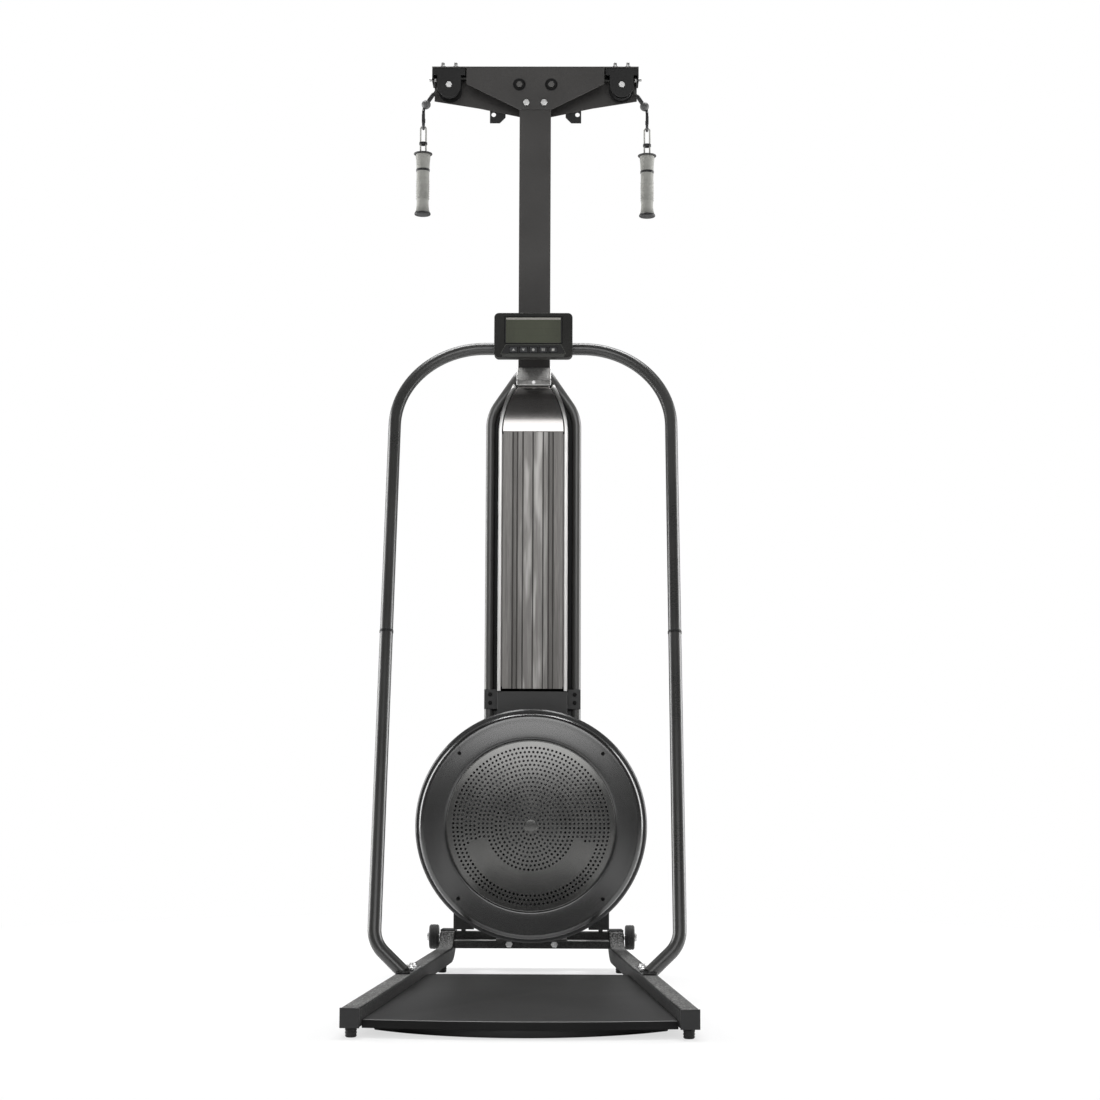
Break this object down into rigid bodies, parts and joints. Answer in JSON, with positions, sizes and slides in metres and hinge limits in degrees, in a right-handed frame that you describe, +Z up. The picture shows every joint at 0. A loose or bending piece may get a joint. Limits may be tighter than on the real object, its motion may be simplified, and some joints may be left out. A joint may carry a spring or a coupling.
{
  "type": "ski simulator",
  "caption": "Standing ski pull trainer: splayed rails with a foot plate, bracing hoop, air flywheel, mast with T-shaped pulley head and two pull handles.",
  "frame": {"origin": "middle of the footprint's bounding box, on the floor", "axes": "+Z up, the user stands on the -Y side and faces +Y, +X is the user's right"},
  "size_m": [0.6664, 1.2184, 2.159],
  "materials": {
    "charcoal_coat": "satin",
    "black_satin": "satin",
    "grey_panel": "brushed",
    "galvanised": "satin",
    "bright_steel": "polished",
    "bare_aluminium": "brushed",
    "black_plastic": "matte",
    "grey_plastic": "matte",
    "gloss_black": "gloss",
    "screen": "gloss",
    "black_rubber": "matte",
    "grip_rubber": "matte",
    "cord_cover": "braided",
    "fan_metal": "cast"
  },
  "bodies": {
    "frame": {"left_rail": "charcoal_coat", "right_rail": "charcoal_coat", "rail_end_caps": "black_plastic", "rubber_feet": "black_rubber", "foot_plate": "black_satin", "foot_plate_tray": "black_plastic", "front_cross_tube": "charcoal_coat", "rear_cross_tube": "charcoal_coat", "left_hoop_leg": "black_satin", "right_hoop_leg": "black_satin", "hoop_arch": "black_satin", "hoop_splice_rings": "black_satin", "mast": "charcoal_coat", "mast_saddle": "galvanised", "hoop_clamp": "black_satin", "column_frame": "black_satin", "column_housing": "black_satin", "ribbed_panel": "grey_panel", "side_trims": "bare_aluminium", "top_hood": "gloss_black", "neck_block": "black_satin", "fan_rear_shell": "black_plastic", "fan_front_ring": "grey_plastic", "fan_grille": "black_satin", "cover_screws": "black_satin", "shaft_bearings": "bright_steel", "recoil_case": "black_plastic", "recoil_springs": "bright_steel", "fan_mount_brackets": "black_satin", "head_front_plate": "charcoal_coat", "head_rear_plate": "charcoal_coat", "head_top_plate": "charcoal_coat", "pulley_brackets": "charcoal_coat", "pulley_axles": "bright_steel", "drive_cords": "cord_cover", "wall_lugs": "charcoal_coat", "frame_bolts": "bright_steel"},
    "flywheel": {"flywheel": "fan_metal", "flywheel_shaft": "bright_steel"},
    "left_drum": {"left_cord_drum": "black_plastic"},
    "right_drum": {"right_cord_drum": "black_plastic"},
    "left_end_pulley": {"left_end_pulley": "black_plastic"},
    "right_end_pulley": {"right_end_pulley": "black_plastic"},
    "left_inner_pulley": {"left_inner_pulley": "black_plastic"},
    "right_inner_pulley": {"right_inner_pulley": "black_plastic"},
    "left_wheel": {"left_wheel": "black_plastic"},
    "right_wheel": {"right_wheel": "black_plastic"},
    "console": {"console_case": "gloss_black", "console_lens": "screen"},
    "left_pull": {"left_hanger": "black_plastic", "left_cord": "cord_cover"},
    "right_pull": {"right_hanger": "black_plastic", "right_cord": "cord_cover"},
    "left_handle": {"left_grip": "grip_rubber"},
    "right_handle": {"right_grip": "grip_rubber"},
    "button_1": {"button_1": "black_rubber"},
    "button_2": {"button_2": "black_rubber"},
    "button_3": {"button_3": "black_rubber"},
    "button_4": {"button_4": "black_rubber"},
    "button_5": {"button_5": "black_rubber"}
  },
  "joints": [
    {"name": "flywheel_spin", "type": "hinge", "parent": "frame", "child": "flywheel", "pos_m": [0, 0.54667, 0.336], "axis": [0, 1, 0], "continuous": true},
    {"name": "left_drum_spin", "type": "hinge", "parent": "frame", "child": "left_drum", "pos_m": [0, 0.53967, 0.336], "axis": [0, 1, 0], "continuous": true},
    {"name": "left_end_pulley_spin", "type": "hinge", "parent": "frame", "child": "left_end_pulley", "pos_m": [-0.208, 0.53967, 2.1], "axis": [0, 1, 0], "continuous": true},
    {"name": "left_inner_pulley_spin", "type": "hinge", "parent": "frame", "child": "left_inner_pulley", "pos_m": [-0.0385, 0.53967, 2.1], "axis": [0, 1, 0], "continuous": true},
    {"name": "left_wheel_spin", "type": "hinge", "parent": "frame", "child": "left_wheel", "pos_m": [-0.228, 0.58067, 0.072], "axis": [1, 0, 0], "continuous": true},
    {"name": "left_pull_slide", "type": "slide", "parent": "frame", "child": "left_pull", "axis": [0, -0.4226, -0.9063], "range_m": [0, 1.2], "stiffness_N_per_m": 15, "springref_m": -0.6, "deforming": ["left_cord"]},
    {"name": "left_handle_swing", "type": "hinge", "parent": "left_pull", "child": "left_handle", "pos_m": [-0.27, 0.53967, 2.006], "axis": [1, 0, 0], "range_deg": [-60, 60]},
    {"name": "right_drum_spin", "type": "hinge", "parent": "frame", "child": "right_drum", "pos_m": [0, 0.55367, 0.336], "axis": [0, 1, 0], "continuous": true},
    {"name": "right_end_pulley_spin", "type": "hinge", "parent": "frame", "child": "right_end_pulley", "pos_m": [0.208, 0.55367, 2.1], "axis": [0, 1, 0], "continuous": true},
    {"name": "right_inner_pulley_spin", "type": "hinge", "parent": "frame", "child": "right_inner_pulley", "pos_m": [0.0385, 0.55367, 2.1], "axis": [0, 1, 0], "continuous": true},
    {"name": "right_wheel_spin", "type": "hinge", "parent": "frame", "child": "right_wheel", "pos_m": [0.228, 0.58067, 0.072], "axis": [1, 0, 0], "continuous": true},
    {"name": "right_pull_slide", "type": "slide", "parent": "frame", "child": "right_pull", "axis": [0, -0.4226, -0.9063], "range_m": [0, 1.2], "stiffness_N_per_m": 15, "springref_m": -0.6, "deforming": ["right_cord"]},
    {"name": "right_handle_swing", "type": "hinge", "parent": "right_pull", "child": "right_handle", "pos_m": [0.27, 0.55367, 2.006], "axis": [1, 0, 0], "range_deg": [-60, 60]},
    {"name": "console_tilt", "type": "hinge", "parent": "frame", "child": "console", "pos_m": [0, 0.44917, 1.463], "axis": [1, 0, 0], "range_deg": [-20, 10]},
    {"name": "button_1_press", "type": "slide", "parent": "console", "child": "button_1", "axis": [0, 1, 0], "range_m": [0, 0.001], "stiffness_N_per_m": 400, "springref_m": -0.002},
    {"name": "button_2_press", "type": "slide", "parent": "console", "child": "button_2", "axis": [0, 1, 0], "range_m": [0, 0.001], "stiffness_N_per_m": 400, "springref_m": -0.002},
    {"name": "button_3_press", "type": "slide", "parent": "console", "child": "button_3", "axis": [0, 1, 0], "range_m": [0, 0.001], "stiffness_N_per_m": 400, "springref_m": -0.002},
    {"name": "button_4_press", "type": "slide", "parent": "console", "child": "button_4", "axis": [0, 1, 0], "range_m": [0, 0.001], "stiffness_N_per_m": 400, "springref_m": -0.002},
    {"name": "button_5_press", "type": "slide", "parent": "console", "child": "button_5", "axis": [0, 1, 0], "range_m": [0, 0.001], "stiffness_N_per_m": 400, "springref_m": -0.002}
  ],
  "couplings": [
    {"joint": "left_end_pulley_spin", "follows": "left_pull_slide", "rad_per_m": -44.444},
    {"joint": "left_inner_pulley_spin", "follows": "left_pull_slide", "rad_per_m": -44.444},
    {"joint": "left_drum_spin", "follows": "left_pull_slide", "rad_per_m": -35.088},
    {"joint": "right_end_pulley_spin", "follows": "right_pull_slide", "rad_per_m": 44.444},
    {"joint": "right_inner_pulley_spin", "follows": "right_pull_slide", "rad_per_m": 44.444},
    {"joint": "right_drum_spin", "follows": "right_pull_slide", "rad_per_m": -35.088}
  ]
}
